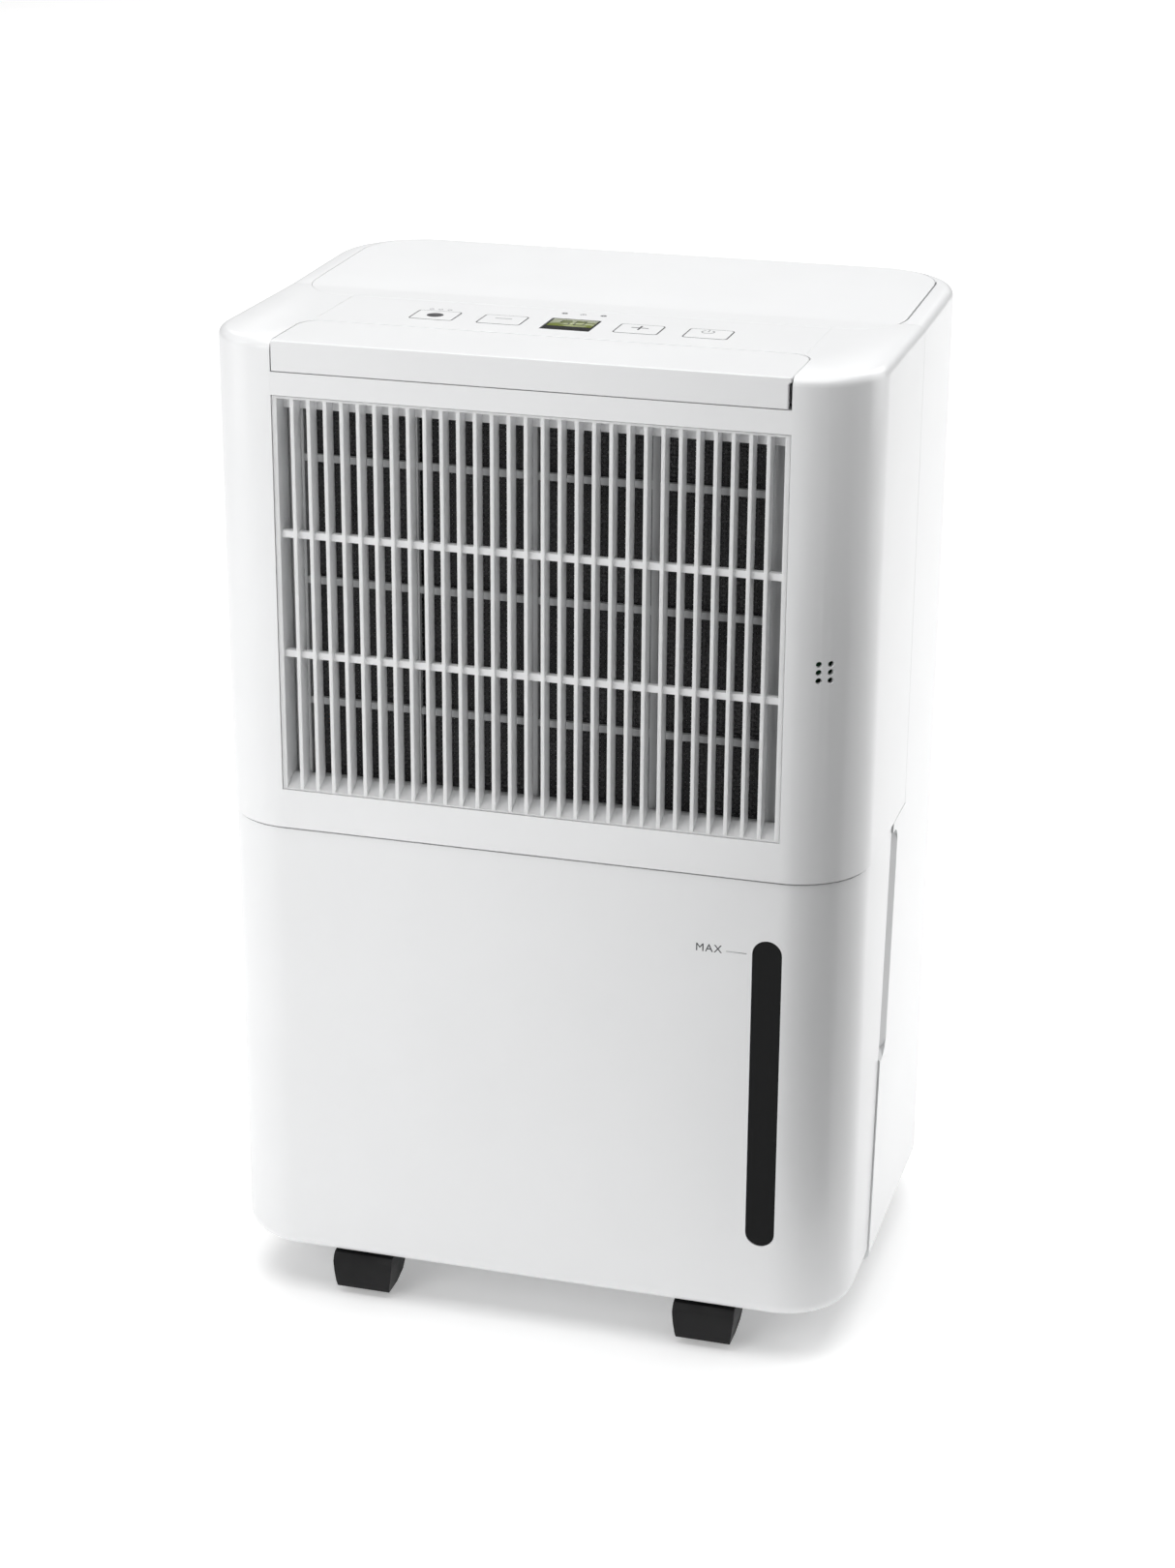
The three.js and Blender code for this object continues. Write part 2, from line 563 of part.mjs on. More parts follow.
function fanImpeller() {
  const { z, tip, hub, y0, y1, blades } = FAN;
  let body = cylinderY(0, 0, hub, y0, y1, 10);
  for (let i = 0; i < blades; i++) {
    const blade = new THREE.BoxGeometry(tip - hub + 3, 2, 26).translate((tip + hub - 3) / 2, 0, 0);
    blade.rotateX(THREE.MathUtils.degToRad(52)).rotateY(i * 2 * Math.PI / blades);
    body = body.add(solid(blade.translate(0, (y0 + y1) / 2, 0)));
  }
  return body.subtract(cylinderY(0, 0, 4.3, y0 + 3, y1 + 9, 6)).translate([0, 0, z]);
}

const fanMotor = () => union(
  cylinderY(0, FAN.z, 33, 126.3, 166, 8),
  cylinderY(0, FAN.z, 14, 165, 172, 8),
  cylinderY(0, FAN.z, 4, FAN.y0 + 4, 128, 6));

function outletGrille() {
  const x = OUTLET.x - GAP;
  const z0 = OUTLET.z0 + GAP;
  const z1 = OUTLET.z1 - GAP;
  const front = DEPTH - 5;
  const face = DEPTH - 0.4;
  let body = prismY(roundRect(-x, z0, x, z1, 6 - GAP), front, face)
    .subtract(prismY(roundRect(-x + 4, z0 + 4, x - 4, z1 - 4, 3), 200, FAR));
  for (let z = z0 + 11; z < z1 - 9; z += 12.2) {
    body = body.add(prismX(polygon([[front, z + 3.2], [front, z + 1.6], [face, z - 3.2],
      [face, z - 1.6]]), -x + 2, x - 2));
  }
  return body.add(box(-2, 2, front, face - 0.6, z0 + 1, z1 - 1));
}

// ---- electrics and small parts -----------------------------------------------------------
const electronicsBox = () => box(-171.8, -118, 136, 212, 300, 452)
  .subtract(box(-164, -110, 138, 210, 302, 450));

const powerBoard = () => union(
  box(-160, -158.4, 141, 207, 306, 446),
  box(-158.6, -138, 150, 180, 320, 352),
  box(-158.6, -144, 156, 196, 376, 400),
  cylinderX(165, 425, 9, -158.6, -128, 6));

const runCapacitor = () => turned([[0, 8.8], [17, 8.8], [17, 80], [14, 82], [14, 84], [0, 84]], 16)
  .translate([112, 196, 0]);

function humiditySensor() {
  const board = new THREE.BoxGeometry(14, 1.6, 18).translate(0, -32, 0);
  const chip = new THREE.BoxGeometry(7, 3, 9).translate(0, -34, 0);
  return union(solid(board), solid(chip)).rotate([0, 0, 28.5])
    .translate([WIDTH / 2 - FRONT_RADIUS, FRONT_RADIUS, 367.3]);
}

const drainPlug = () => union(
  cylinderY(DRAIN.x, DRAIN.z, DRAIN.radius + 2.1, DEPTH - 1.6, DEPTH - 0.1),
  cylinderY(DRAIN.x, DRAIN.z, DRAIN.radius - GAP, DEPTH - 13, DEPTH - 1));

const cordGland = () => union(
  cylinderY(CORD.x, CORD.z, CORD.radius + 2.1, DEPTH - 1.6, DEPTH - 0.1),
  cylinderY(CORD.x, CORD.z, CORD.radius - GAP, DEPTH - 17, DEPTH - 1))
  .subtract(cylinderY(CORD.x, CORD.z, 3.8, DEPTH - 20, FAR, 6));

function screw(x, z) {
  return union(
    cylinderY(x, z, 4.1, DEPTH - 5.7, DEPTH - 2.9, 5),
    cylinderY(x, z, 2, DEPTH - 20, DEPTH - 5, 3))
    .subtract(box(x - 0.5, x + 0.5, DEPTH - 4.3, DEPTH, z - 2.6, z + 2.6))
    .subtract(box(x - 2.6, x + 2.6, DEPTH - 4.3, DEPTH, z - 0.5, z + 0.5));
}

// ---- castors -----------------------------------------------------------------------------
// Swivelling hood over a pair of wheels that share an axle.
function castorYoke(x, y) {
  const { trail, wheel, inner, outer } = CASTOR;
  const axle = [y - trail, wheel - CLEARANCE];
  const side = polygon([[axle[0] - 14.5, -7], [axle[0] - 11, -2.4], [y + 8, -2.4], [y + 8, -6],
    [axle[0] + 9, -20], [axle[0], -23.5], [axle[0] - 13.4, -23.5]]);
  const taper = polygon([[x - 17, -2], [x - 17, -8], [x - 15, -24], [x + 15, -24], [x + 17, -8],
    [x + 17, -2]]);
  const wells = [[inner - 0.5, outer + 0.5], [-outer - 0.5, -inner + 0.5]]
    .map(([a, b]) => cylinderX(...axle, wheel + 0.6, x + a, x + b));
  return prismX(side, x - 18, x + 18)
    .intersect(prismY(taper, -50, FAR))
    .subtract(union(...wells))
    .subtract(cylinderX(...axle, 2.6, x - 13, x + 13, 4))
    .add(cylinderZ(x, y, 4, -4, 4.2, 6));
}

function castorWheels(x, y) {
  const { trail, wheel, inner, outer } = CASTOR;
  const axle = [y - trail, wheel - CLEARANCE];
  return union(
    cylinderX(...axle, wheel, x + inner, x + outer, 8),
    cylinderX(...axle, wheel, x - outer, x - inner, 8),
    cylinderX(...axle, 2.2, x - inner - 1, x + inner + 1, 4));
}

// ---- assembly ----------------------------------------------------------------------------
const machine = new THREE.Group();
machine.position.set(0, -DEPTH / 2, CLEARANCE);

function place(name, shape, look) {
  const { vertProperties, triVerts } = shape.getMesh();
  const geometry = new THREE.BufferGeometry();
  geometry.setAttribute('position', new THREE.BufferAttribute(new Float32Array(vertProperties), 3));
  geometry.setIndex(new THREE.BufferAttribute(new Uint32Array(triVerts), 1));
  geometry.computeVertexNormals();
  const mesh = new THREE.Mesh(geometry, look);
  mesh.name = name;
  machine.add(mesh);
}

place('front_housing', frontHousing(), WHITE);
place('rear_housing', rearHousing(), WHITE);
place('top_cover', topCover(), WHITE);
place('intake_grille', intakeGrille(), WHITE);
place('filter_frame', filterFrame(), FRAME_GREY);
place('filter_mesh', filterMesh(), MESH_BLACK);
place('filter_grip', filterGrip(), WHITE);
place('control_panel', controlPanel(), WHITE);
['mode', 'minus', 'plus', 'power'].forEach((label, i) => {
  place(`button_${label}`, button(BUTTON.x[i]), WHITE);
});
place('display_lens', displayLens(), GLASS);
place('control_board', controlBoard(), BOARD_GREEN);
place('bucket', bucket(), WARM_WHITE);
place('bucket_window', bucketWindow(), SMOKE);
place('bucket_lid', bucketLid(), WARM_WHITE);
place('bucket_float', bucketFloat(), FOAM);
place('bucket_sensor', bucketSensor(), BLACK_PAINT);
place('base_pan', basePan(), INNER_GREY);
place('bulkhead', bulkhead(), INNER_GREY);
place('drain_pan', drainPan(), INNER_GREY);
place('evaporator', coil(32, 54, 300), ALUMINIUM);
place('condenser', coil(62, 84, 320), ALUMINIUM);
place('compressor', compressor(), BLACK_PAINT);
footOffsets(COMPRESSOR.feet).forEach(([dx, dy], i) => {
  place(`compressor_foot_${i + 1}`, compressorFoot(dx, dy), RUBBER);
});
place('accumulator', accumulator(), COPPER);
place('suction_pipe', suctionPipe(), COPPER);
place('discharge_pipe', dischargePipe(), COPPER);
place('capillary_tube', capillaryTube(), COPPER);
place('fan_shroud', fanShroud(), INNER_GREY);
place('fan_impeller', fanImpeller(), INNER_GREY);
place('fan_motor', fanMotor(), STEEL);
place('outlet_grille', outletGrille(), WHITE);
place('electronics_box', electronicsBox(), INNER_GREY);
place('power_board', powerBoard(), BOARD_GREEN);
place('run_capacitor', runCapacitor(), STEEL);
place('humidity_sensor', humiditySensor(), BOARD_GREEN);
place('drain_plug', drainPlug(), RUBBER);
place('cord_gland', cordGland(), RUBBER);
SCREWS.forEach(([x, z], i) => {
  place(`housing_screw_${i + 1}`, screw(x, z), STEEL);
});
const corners = [['front', CASTOR.y[0]], ['rear', CASTOR.y[1]]];
for (const [end, y] of corners) {
  for (const [hand, x] of [['left', -CASTOR.x], ['right', CASTOR.x]]) {
    place(`castor_yoke_${end}_${hand}`, castorYoke(x, y), CASTOR_BLACK);
    place(`castor_wheels_${end}_${hand}`, castorWheels(x, y), CASTOR_BLACK);
  }
}

export default machine;
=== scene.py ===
"""Looks of a free-standing compressor dehumidifier.

Pieces are drawn in body coordinates, in millimetres: x across, y behind the front face and
z above the underside of the body. place() turns them into the row frame, in metres.
"""
import math

import bmesh
import bpy
from mathutils import Matrix, Vector


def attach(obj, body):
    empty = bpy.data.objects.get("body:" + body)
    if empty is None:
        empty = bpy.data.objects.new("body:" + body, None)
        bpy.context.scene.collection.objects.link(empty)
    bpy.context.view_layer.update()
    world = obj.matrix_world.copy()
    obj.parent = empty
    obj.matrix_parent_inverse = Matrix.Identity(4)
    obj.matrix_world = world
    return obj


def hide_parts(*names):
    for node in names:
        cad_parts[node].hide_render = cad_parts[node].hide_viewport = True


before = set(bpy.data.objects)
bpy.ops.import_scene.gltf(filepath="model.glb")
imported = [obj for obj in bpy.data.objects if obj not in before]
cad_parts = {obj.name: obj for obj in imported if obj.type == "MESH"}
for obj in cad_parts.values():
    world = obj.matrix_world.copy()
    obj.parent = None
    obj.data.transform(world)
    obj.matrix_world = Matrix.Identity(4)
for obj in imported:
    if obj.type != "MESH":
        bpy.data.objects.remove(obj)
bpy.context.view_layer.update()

# ---- sizes shared with the frame ----------------------------------------------------------
WIDTH, DEPTH, CLEARANCE = 350, 258, 28
FRONT_TOP, RIM_TOP, SEAM, SPLIT = 516.5, 519.5, 253.4, 131
FRONT_RADIUS, REAR_RADIUS, WALL, GAP = 40, 48, 2.8, 0.3
TOP_EDGE = 5  # rounding of the top edges
FAR = 700  # beyond any piece
EDGE_FOOT, EDGE_SLOPE = 76.8, 0.089  # rear edge of the bucket sides, leaning back
GRIP_TOP, GRIP_FOOT, GRIP_REAR = 248, 118, 113  # hollow behind the bucket's edge
OPENING_X, OPENING_FOOT, OPENING_TOP = 134.5, 275.2, 488.3  # air intake in the front
OUTLET_X, OUTLET_FOOT, OUTLET_TOP = 100, 330, 470
PANEL_FRONT, PANEL_BACK = 51.1, 111.7
TO_ROW = Matrix.Scale(0.001, 4) @ Matrix.Translation((0, -DEPTH / 2, CLEARANCE))


# ---- materials ----------------------------------------------------------------------------
def material(name, colour, roughness, spread=0.02, bump=0.02, scale=900, metallic=0.0,
             coat=0.0, coat_roughness=0.1, streaks=None):
    """Moulded or machined surface: cloudy tone, uneven gloss and a fine grain."""
    mat = bpy.data.materials.new(name)
    mat.use_nodes = True
    tree = mat.node_tree
    shader = tree.nodes["Principled BSDF"]
    shader.inputs["Metallic"].default_value = metallic
    shader.inputs["Coat Weight"].default_value = coat
    shader.inputs["Coat Roughness"].default_value = coat_roughness
    where = tree.nodes.new("ShaderNodeTexCoord")
    stretch = tree.nodes.new("ShaderNodeMapping")
    stretch.inputs["Scale"].default_value = streaks or (1, 1, 1)
    tree.links.new(where.outputs["Object"], stretch.inputs["Vector"])

    def noise(frequency, detail):
        node = tree.nodes.new("ShaderNodeTexNoise")
        node.inputs["Scale"].default_value = frequency
        node.inputs["Detail"].default_value = detail
        tree.links.new(stretch.outputs["Vector"], node.inputs["Vector"])
        return node.outputs["Fac"]

    def ramp(source, low, high):
        node = tree.nodes.new("ShaderNodeValToRGB")
        node.color_ramp.elements[0].position = 0.3
        node.color_ramp.elements[1].position = 0.7
        node.color_ramp.elements[0].color = (*low, 1)
        node.color_ramp.elements[1].color = (*high, 1)
        tree.links.new(source, node.inputs["Fac"])
        return node.outputs["Color"]

    dark = [max(0.0, c * (1 - spread)) for c in colour]
    light = [min(1.0, c * (1 + spread)) for c in colour]
    tone = ramp(noise(18, 4), dark, light)
    tree.links.new(tone, shader.inputs["Base Color"])
    low, high = roughness * (1 - 4 * spread), roughness * (1 + 4 * spread)
    tree.links.new(ramp(noise(35, 3), [low] * 3, [high] * 3), shader.inputs["Roughness"])
    grain = tree.nodes.new("ShaderNodeBump")
    grain.inputs["Strength"].default_value = bump
    grain.inputs["Distance"].default_value = 0.0004
    tree.links.new(noise(scale, 2), grain.inputs["Height"])
    tree.links.new(grain.outputs["Normal"], shader.inputs["Normal"])
    return mat


SHELL = material("white_shell", (0.83, 0.835, 0.84), 0.3, spread=0.008, bump=0.03, scale=1500,
                 coat=0.25, coat_roughness=0.12)
GRILLE = material("white_grille", (0.83, 0.835, 0.84), 0.3, spread=0.008, bump=0.03, scale=1500)
thin = GRILLE.node_tree.nodes["Principled BSDF"].inputs
thin["Subsurface Weight"].default_value = 0.8
thin["Subsurface Radius"].default_value = (1, 1, 1)
thin["Subsurface Scale"].default_value = 0.006
TANK = material("white_bucket", (0.82, 0.825, 0.83), 0.33, spread=0.008, bump=0.035, scale=1300,
                coat=0.2, coat_roughness=0.15)
FRAME_GREY = material("filter_grey", (0.42, 0.425, 0.43), 0.55, spread=0.03, bump=0.06)
NET = material("net_black", (0.016, 0.016, 0.017), 0.6, spread=0.1, bump=0.3, scale=2500)
SMOKE = material("smoke_window", (0.004, 0.0042, 0.0045), 0.2, spread=0.05, bump=0.01, scale=400)
SMOKE.node_tree.nodes["Principled BSDF"].inputs["Specular IOR Level"].default_value = 0.13
LCD = material("lcd_window", (0.2, 0.235, 0.05), 0.25, spread=0.1, bump=0.02, scale=800, coat=0.5,
               coat_roughness=0.05)
LCD_DARK = material("lcd_digit", (0.035, 0.045, 0.015), 0.35, spread=0.1, bump=0.02)
INK = material("grey_print", (0.05, 0.05, 0.055), 0.6, spread=0.08, bump=0.05)
# Dark grey for the rings in the button gaps: painted shade standing in for the shadow in each gap.
GAP_SHADE = material("button_gap_painted_shade", (0.1, 0.1, 0.105), 0.8, spread=0.05, bump=0.05)
PALE_INK = material("pale_print", (0.33, 0.33, 0.34), 0.6, spread=0.08, bump=0.05)
CASTOR_BLACK = material("castor_black", (0.005, 0.005, 0.0055), 0.5, spread=0.08, bump=0.15)
CASTOR_BLACK.node_tree.nodes["Principled BSDF"].inputs["Specular IOR Level"].default_value = 0.25
TREAD = material("castor_tread", (0.008, 0.008, 0.009), 0.65, spread=0.1, bump=0.3)
RUBBER = material("rubber_black", (0.02, 0.02, 0.022), 0.75, spread=0.1, bump=0.25)
ALUMINIUM = material("aluminium_fins", (0.78, 0.79, 0.8), 0.32, spread=0.05, bump=0.2,
                     metallic=1.0, streaks=(1, 1, 8))
COPPER = material("copper_tube", (0.72, 0.38, 0.22), 0.28, spread=0.08, bump=0.08, metallic=1.0)
STEEL = material("steel_parts", (0.62, 0.63, 0.64), 0.34, spread=0.05, bump=0.1, metallic=1.0,
                 streaks=(1, 8, 1))
BLACK_PAINT = material("black_paint", (0.02, 0.02, 0.022), 0.38, spread=0.08, bump=0.12,
                       scale=600, coat=0.3)
BOARD_GREEN = material("board_green", (0.03, 0.16, 0.07), 0.45, spread=0.12, bump=0.2, scale=500)
INNER_GREY = material("inner_grey", (0.3, 0.305, 0.31), 0.55, spread=0.04, bump=0.1)
FOAM = material("float_foam", (0.8, 0.77, 0.66), 0.85, spread=0.06, bump=0.5, scale=700)
SENSOR_BLACK = material("sensor_black", (0.02, 0.02, 0.022), 0.5, spread=0.1, bump=0.1)


# ---- solids -------------------------------------------------------------------------------
def build(verts, faces):
    mesh = bpy.data.meshes.new("solid")
    mesh.from_pydata(verts, [], faces)
    bm = bmesh.new()
    bm.from_mesh(mesh)
    bmesh.ops.remove_doubles(bm, verts=bm.verts, dist=1e-5)
    bmesh.ops.recalc_face_normals(bm, faces=bm.faces)
    bm.to_mesh(mesh)
    bm.free()
    solid = bpy.data.objects.new("solid", mesh)
    bpy.context.scene.collection.objects.link(solid)
    return solid


def arc(u, v, radius, start, end, steps):
    """Points along a circle, angles in quarter turns."""
    angles = [math.pi / 2 * (start + (end - start) * i / steps) for i in range(steps + 1)]
    return [(u + radius * math.cos(a), v + radius * math.sin(a)) for a in angles]


def round_rect(u0, v0, u1, v1, low, high=None, steps=8):
    """Rectangle whose corners at small v have radius low and those at large v have high."""
    high = low if high is None else high
    loop = []
    for u, v, r, turn in ((u0 + low, v0 + low, low, 2), (u1 - low, v0 + low, low, 3),
                          (u1 - high, v1 - high, high, 0), (u0 + high, v1 - high, high, 1)):
        loop += arc(u, v, r, turn, turn + 1, steps) if r else [(u, v)]
    return loop


def disc(u, v, radius, steps=8):
    return arc(u, v, radius, 0, 4, 4 * steps)[:-1]


AXES = {"x": lambda u, v, w: (w, u, v), "y": lambda u, v, w: (u, w, v),
        "z": lambda u, v, w: (u, v, w)}


def prism(loop, low, high, axis="z"):
    """Block with the loop as its section, from low to high along an axis."""
    at, n = AXES[axis], len(loop)
    verts = [at(u, v, low) for u, v in loop] + [at(u, v, high) for u, v in loop]
    sides = [(i, (i + 1) % n, n + (i + 1) % n, n + i) for i in range(n)]
    return build(verts, [tuple(range(n))[::-1], tuple(range(n, 2 * n)), *sides])


def stacked(loops, axis="z"):
    """Block through several loops of (level, points) with the same number of points."""
    at, n = AXES[axis], len(loops[0][1])
    verts = [at(u, v, w) for w, loop in loops for u, v in loop]
    faces = [tuple(range(n))[::-1], tuple(range(len(verts) - n, len(verts)))]
    for k in range(len(loops) - 1):
        faces += [(k * n + i, k * n + (i + 1) % n, (k + 1) * n + (i + 1) % n, (k + 1) * n + i)
                  for i in range(n)]
    return build(verts, faces)


def box(x0, x1, y0, y1, z0, z1):
    return prism([(x0, y0), (x1, y0), (x1, y1), (x0, y1)], z0, z1)


def both(x0, x1, *rest):
    return [box(x0, x1, *rest), box(-x1, -x0, *rest)]


def cylinder(u, v, radius, low, high, axis, steps=8):
    return prism(disc(u, v, radius, steps), low, high, axis)


def turned(profile, centre, axis="x", steps=12):
    """Solid of revolution from (radius, distance along the axis) pairs."""
    loops = [(w, disc(*centre, max(r, 1e-3), steps)) for r, w in profile]
    return stacked(loops, axis)


def combine(target, operation, *tools):
    for tool in tools:
        change = target.modifiers.new("combine", "BOOLEAN")
        change.operation = operation
        change.object = tool
        change.solver = "EXACT"
        graph = bpy.context.evaluated_depsgraph_get()
        mesh = bpy.data.meshes.new_from_object(target.evaluated_get(graph))
        target.modifiers.clear()
        target.data = mesh
        bpy.data.objects.remove(tool)
    return target


def cut(target, *tools):
    return combine(target, "DIFFERENCE", *tools)


def add(target, *tools):
    return combine(target, "UNION", *tools)


def keep(target, *tools):
    return combine(target, "INTERSECT", *tools)


def place(solid, name, body, mat, nodes=(), edge=0.4, angle=32, steps=2):
    """Names a finished solid, moves it into the row frame, softens its edges and binds it."""
    solid.name = name
    solid.data.name = name
    solid.data.transform(TO_ROW)
    solid.data.materials.clear()
    solid.data.materials.append(mat)
    for face in solid.data.polygons:
        face.use_smooth = True
        face.material_index = 0
    if edge:
        soften = solid.modifiers.new("edges", "BEVEL")
        soften.width = edge / 1000
        soften.segments = steps
        soften.limit_method = "ANGLE"
        soften.angle_limit = math.radians(angle)
        soften.harden_normals = True
        soften.miter_outer = "MITER_ARC"
    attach(solid, body)
    if nodes:
        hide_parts(*nodes)


# ---- body outline -------------------------------------------------------------------------
def outline(inset, steps=14):
    x = WIDTH / 2 - inset
    return round_rect(-x, inset, x, DEPTH - inset, FRONT_RADIUS - inset, REAR_RADIUS - inset,
                      steps)


def plain(inset, z0, z1):
    return prism(outline(inset), z0, z1)


def rounded(inset, z0, z1, radius, steps=6):
    """Body block with soft top and bottom edges."""
    levels = []
    for i in range(steps + 1):
        a = math.pi / 2 * i / steps
        levels.append((z0 + radius * (1 - math.cos(a)), radius * (1 - math.sin(a))))
    levels += [(z0 + z1 - z, shrink) for z, shrink in reversed(levels)]
    return stacked([(z, outline(inset + shrink)) for z, shrink in levels])


def ahead_of_edge(offset, top):
    """Everything in front of the leaning rear edge of the bucket."""
    def at(z):
        return EDGE_FOOT + EDGE_SLOPE * z + offset
    return prism([(-1, -1), (at(-1), -1), (at(top), top), (-1, top)], -FAR, FAR, "x")


def bezier(p0, p1, p2, p3, steps=12):
    return [tuple((1 - t) ** 3 * a + 3 * t * (1 - t) ** 2 * b + 3 * t * t * (1 - t) * c + t ** 3 * d
                  for a, b, c, d in zip(p0, p1, p2, p3)) for t in
            (i / steps for i in range(1, steps))]


def cover_outline(inset):
    """Inset lid at the back of the top: straight nose, flared sides, round rear corners."""
    x, y0, y1, r, nose, flare = 163 - inset, 112.1 + inset, 253.8 - inset, 34 - inset, 136, 143
    right = [(nose, y0), *bezier((nose, y0), (nose + 15, y0), (x, flare - 16), (x, flare)),
             (x, flare), *arc(x - r, y1 - r, r, 0, 1, 16)]
    return right + [(-u, v) for u, v in reversed(right)]


def top_cover():
    """Inset lid whose top climbs gently with the rim around it."""
    above = prism([(0, FRONT_TOP), (SPLIT, FRONT_TOP), (DEPTH - TOP_EDGE, RIM_TOP),
                   (DEPTH, RIM_TOP), (DEPTH, FAR), (0, FAR)], -FAR, FAR, "x")
    return cut(prism(cover_outline(0), 513.3, FAR), above)


def lean_back(solid):
    """Leans an upright piece back with the bucket's edge, turning about the grip's top."""
    for vert in solid.data.vertices:
        vert.co.y += EDGE_SLOPE * (vert.co.z - GRIP_TOP)
    return solid


def finger_grip(side):
    """Hollow and surrounding cup of the grip behind the bucket's edge."""
    deep, face, wall = side * 168, side * WIDTH / 2, 2.4

    def block(grow, x):
        x0, x1 = (x, FAR) if side > 0 else (-FAR, -x)
        return lean_back(prism(round_rect(50 - grow, GRIP_FOOT - grow, GRIP_REAR + grow,
                                          GRIP_TOP + grow, 10 + grow), x0, x1, "x"))
    ramp = prism([(deep, GRIP_FOOT + 9), (face, GRIP_FOOT), (side * FAR, GRIP_FOOT),
                  (side * FAR, GRIP_TOP), (deep, GRIP_TOP)], 0, FAR, "y")
    slope = lean_back(prism([(deep, 0), (side * FAR, 0), (side * FAR, GRIP_REAR),
                             (face, GRIP_REAR), (deep, GRIP_REAR - 9)], 100, 300))
    return keep(block(0, 168), ramp, slope), block(wall, 164 - wall)


# ---- housings -----------------------------------------------------------------------------
CAP = {"x0": -134.1, "x1": 134.1, "lip_end": 132.7, "y": 50.4, "lip": 500.6, "radius": 12}


def front_housing():
    def cap_hole(z0):
        return prism(round_rect(CAP["x0"] - 0.4, -5, OPENING_X, CAP["y"] + 0.4, 0, CAP["radius"]),
                     z0, FAR)
    skin = keep(rounded(0, 150, FRONT_TOP, TOP_EDGE), box(-FAR, FAR, -1, SPLIT, SEAM + GAP, FAR))
    cut(skin, plain(WALL, 0, FRONT_TOP - 3))
    add(skin, box(-137.5, 137.5, 2, 53.4, 496.6, FRONT_TOP - 2))
    cut(skin, keep(cap_hole(499.4), box(-FAR, FAR, WALL, FAR, 0, FAR)),
        cap_hole(CAP["lip"] - GAP),
        box(-132.3, 132.3, 13.8, 21, 490, 500),
        box(-130, 130, CAP["y"], PANEL_BACK + 2, FRONT_TOP - 3.5, FAR),
        prism(cover_outline(-GAP), FRONT_TOP - 5, FAR),
        box(-OPENING_X, OPENING_X, -1, 5, OPENING_FOOT, OPENING_TOP))
    corner_x, corner_y, vent_radius = WIDTH / 2 - FRONT_RADIUS, FRONT_RADIUS, 1.6
    for degrees in (24, 33):
        for z in (363, 367.3, 371.6):
            drill = cylinder(0, 0, vent_radius, -6, 6, "y", 6)
            turn = Matrix.Rotation(math.radians(degrees), 4, "Z")
            drill.data.transform(Matrix.Translation((corner_x, corner_y, z)) @ turn
                                 @ Matrix.Translation((0, -FRONT_RADIUS, 0)))
            cut(skin, drill)
    return skin


def rear_housing():
    zone = add(box(-FAR, FAR, SPLIT + GAP, FAR, -1, FAR),
               cut(box(-FAR, FAR, 0, SPLIT + 1, -1, SEAM - GAP), ahead_of_edge(0.4, SEAM)))
    body = rounded(0, 0, FRONT_TOP, TOP_EDGE)
    for vert in body.data.vertices:
        if vert.co.z > SEAM:
            vert.co.z += (RIM_TOP - FRONT_TOP) * (vert.co.y - SPLIT) / (DEPTH - TOP_EDGE - SPLIT)
    keep(body, copy_of(zone))
    cut(body, plain(WALL, 5, 510), plain(12, -1, 6), prism(cover_outline(-GAP), 513, FAR),
        keep(prism(cover_outline(-1.1), 513, FAR), box(0, FAR, 0, 228, 0, FAR)),
        prism(cover_outline(5), 505, FAR))
    for side in (-1, 1):
        hollow, cup = finger_grip(side)
        add(body, keep(cup, plain(1, 10, 300), copy_of(zone)))
        cut(body, hollow)
    cut(body, prism(round_rect(-OUTLET_X, OUTLET_FOOT, OUTLET_X, OUTLET_TOP, 6), DEPTH - 8, FAR,
                    "y"))
    for x in (-112, 112):
        for z in (60, 490):
            add(body, cylinder(x, z, 7, DEPTH - 12, DEPTH - 1, "y"))
            cut(body, cylinder(x, z, 4.5, DEPTH - 6, FAR, "y"),
                cylinder(x, z, 2.4, DEPTH - 13, FAR, "y"))
    for x, z, r in ((60, 235, 8), (-110, 35, 7)):
        add(body, cylinder(x, z, r + 3, DEPTH - 14, DEPTH - 1, "y"))
        cut(body, cylinder(x, z, r, DEPTH - 15, FAR, "y"),
            cylinder(x, z, r + 2.5, DEPTH - 1.9, FAR, "y"))
    bpy.data.objects.remove(zone)
    return body


def copy_of(solid):
    twin = bpy.data.objects.new("solid", solid.data.copy())
    bpy.context.scene.collection.objects.link(twin)
    return twin


place(front_housing(), "front_shell", "housing", SHELL, ["front_housing"], 0.45)
place(rear_housing(), "rear_shell", "housing", SHELL, ["rear_housing"], 0.45)
place(top_cover(), "cover_plate", "housing", SHELL, ["top_cover"], 0.7)


# ---- air intake and filter ----------------------------------------------------------------
def intake_grille():
    x, z0, z1 = OPENING_X - GAP, OPENING_FOOT + GAP, OPENING_TOP - GAP
    front, depth, fins = 0.4, 10, 29
    inner = x - 2.5
    sill = [(front, z0), (13.6, z0), (13.6, 281.2), (depth, 281.2), (front, z0 + 0.8)]
    ring = cut(box(-x - 4, x + 4, 3.1, 5.4, z0 - 4, z1 + 4),
               box(-inner, inner, 0, 9, z0 + 0.3, z1 - 0.6))
    body = add(prism(sill, -x, x, "x"), box(-x, x, front, depth, z1 - 1.2, z1),
               box(-x, x, depth - 0.2, 13.6, 480, z1), *both(inner, x, front, 22.4, z0, z1),
               *both(126, x, 20.4, 22.4, z0, z1), ring)
    for z in (350.4, 415):
        add(body, box(-inner - 1, inner + 1, 3, 7, z - 1.8, z + 1.8))
    for i in range(fins):
        at = 123.5 * (2 * i / (fins - 1) - 1)
        add(body, box(at - 0.95, at + 0.95, front, depth, z0 + 0.4, z1 - 0.5))
    return body


